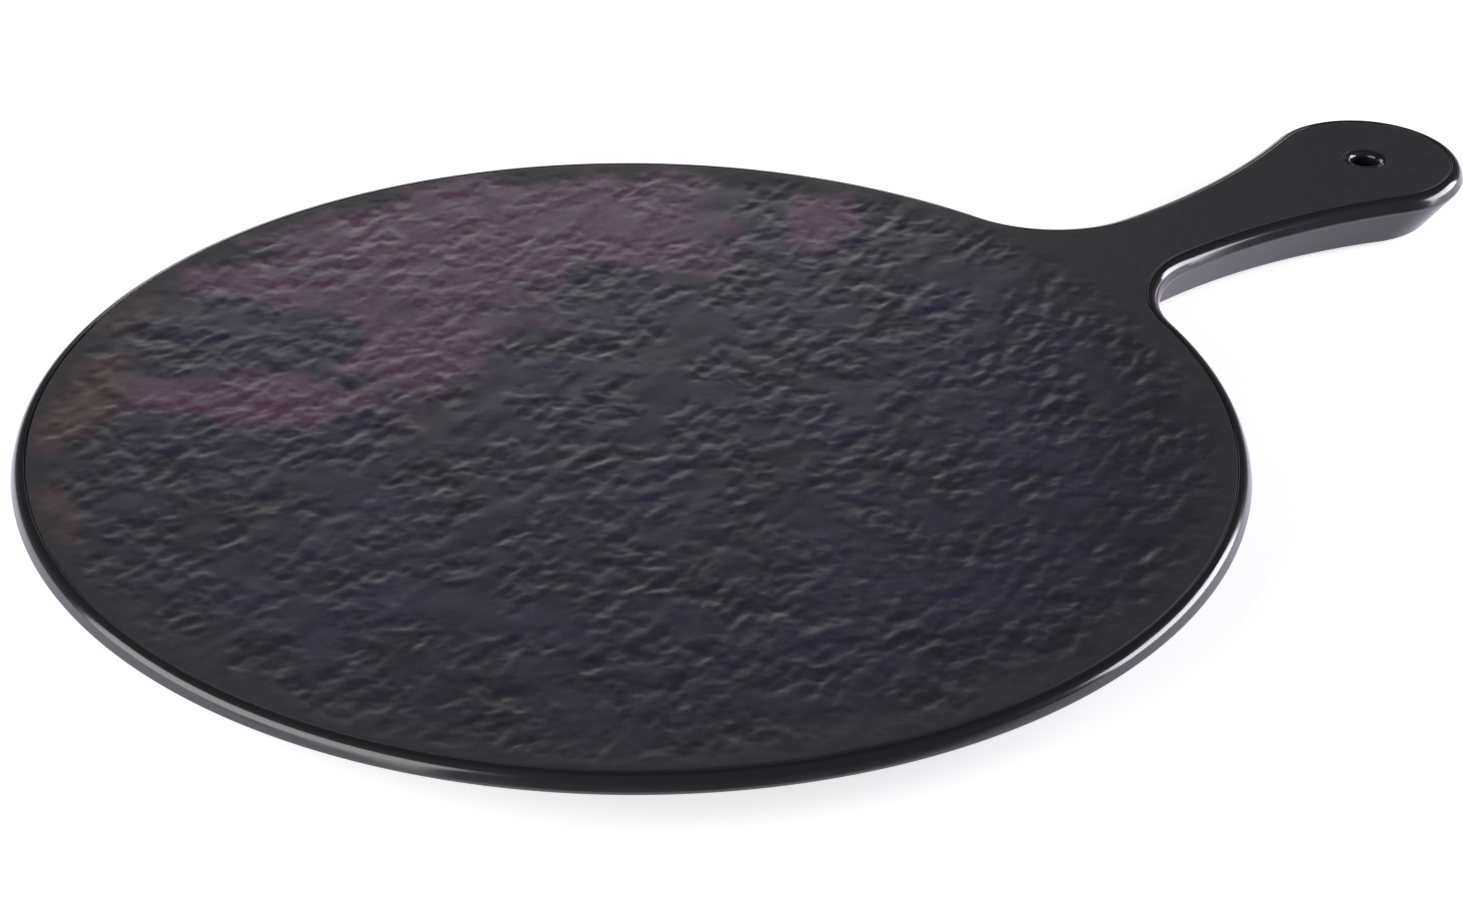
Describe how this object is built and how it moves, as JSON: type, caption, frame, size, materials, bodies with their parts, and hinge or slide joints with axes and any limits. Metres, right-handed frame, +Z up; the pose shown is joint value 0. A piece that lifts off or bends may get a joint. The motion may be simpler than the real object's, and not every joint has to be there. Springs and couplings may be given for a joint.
{
  "type": "slate-look paddle platter",
  "caption": "Round slate-look serving platter with a waisted paddle handle and hanging hole, a glossy rounded rim, a foot ring and push-in anti-slip feet.",
  "frame": {"origin": "on the table plane, under the middle of the overall length and width", "axes": "+X along the handle from the disc towards its tip, +Z up out of the slate face"},
  "size_m": [0.43, 0.3, 0.0135],
  "materials": {
    "black_melamine": "black melamine, compression-moulded, glossy",
    "slate_melamine": "slate-look melamine layer, pressed with a riven relief, satin, grey with purple patches",
    "silicone": "moulded silicone, dull black"
  },
  "bodies": {
    "root": {"melamine_board": "black_melamine", "slate_face": "slate_melamine", "foot_handle_left": "silicone", "foot_handle_right": "silicone", "foot_rim_left": "silicone", "foot_rim_right": "silicone"}
  },
  "joints": []
}
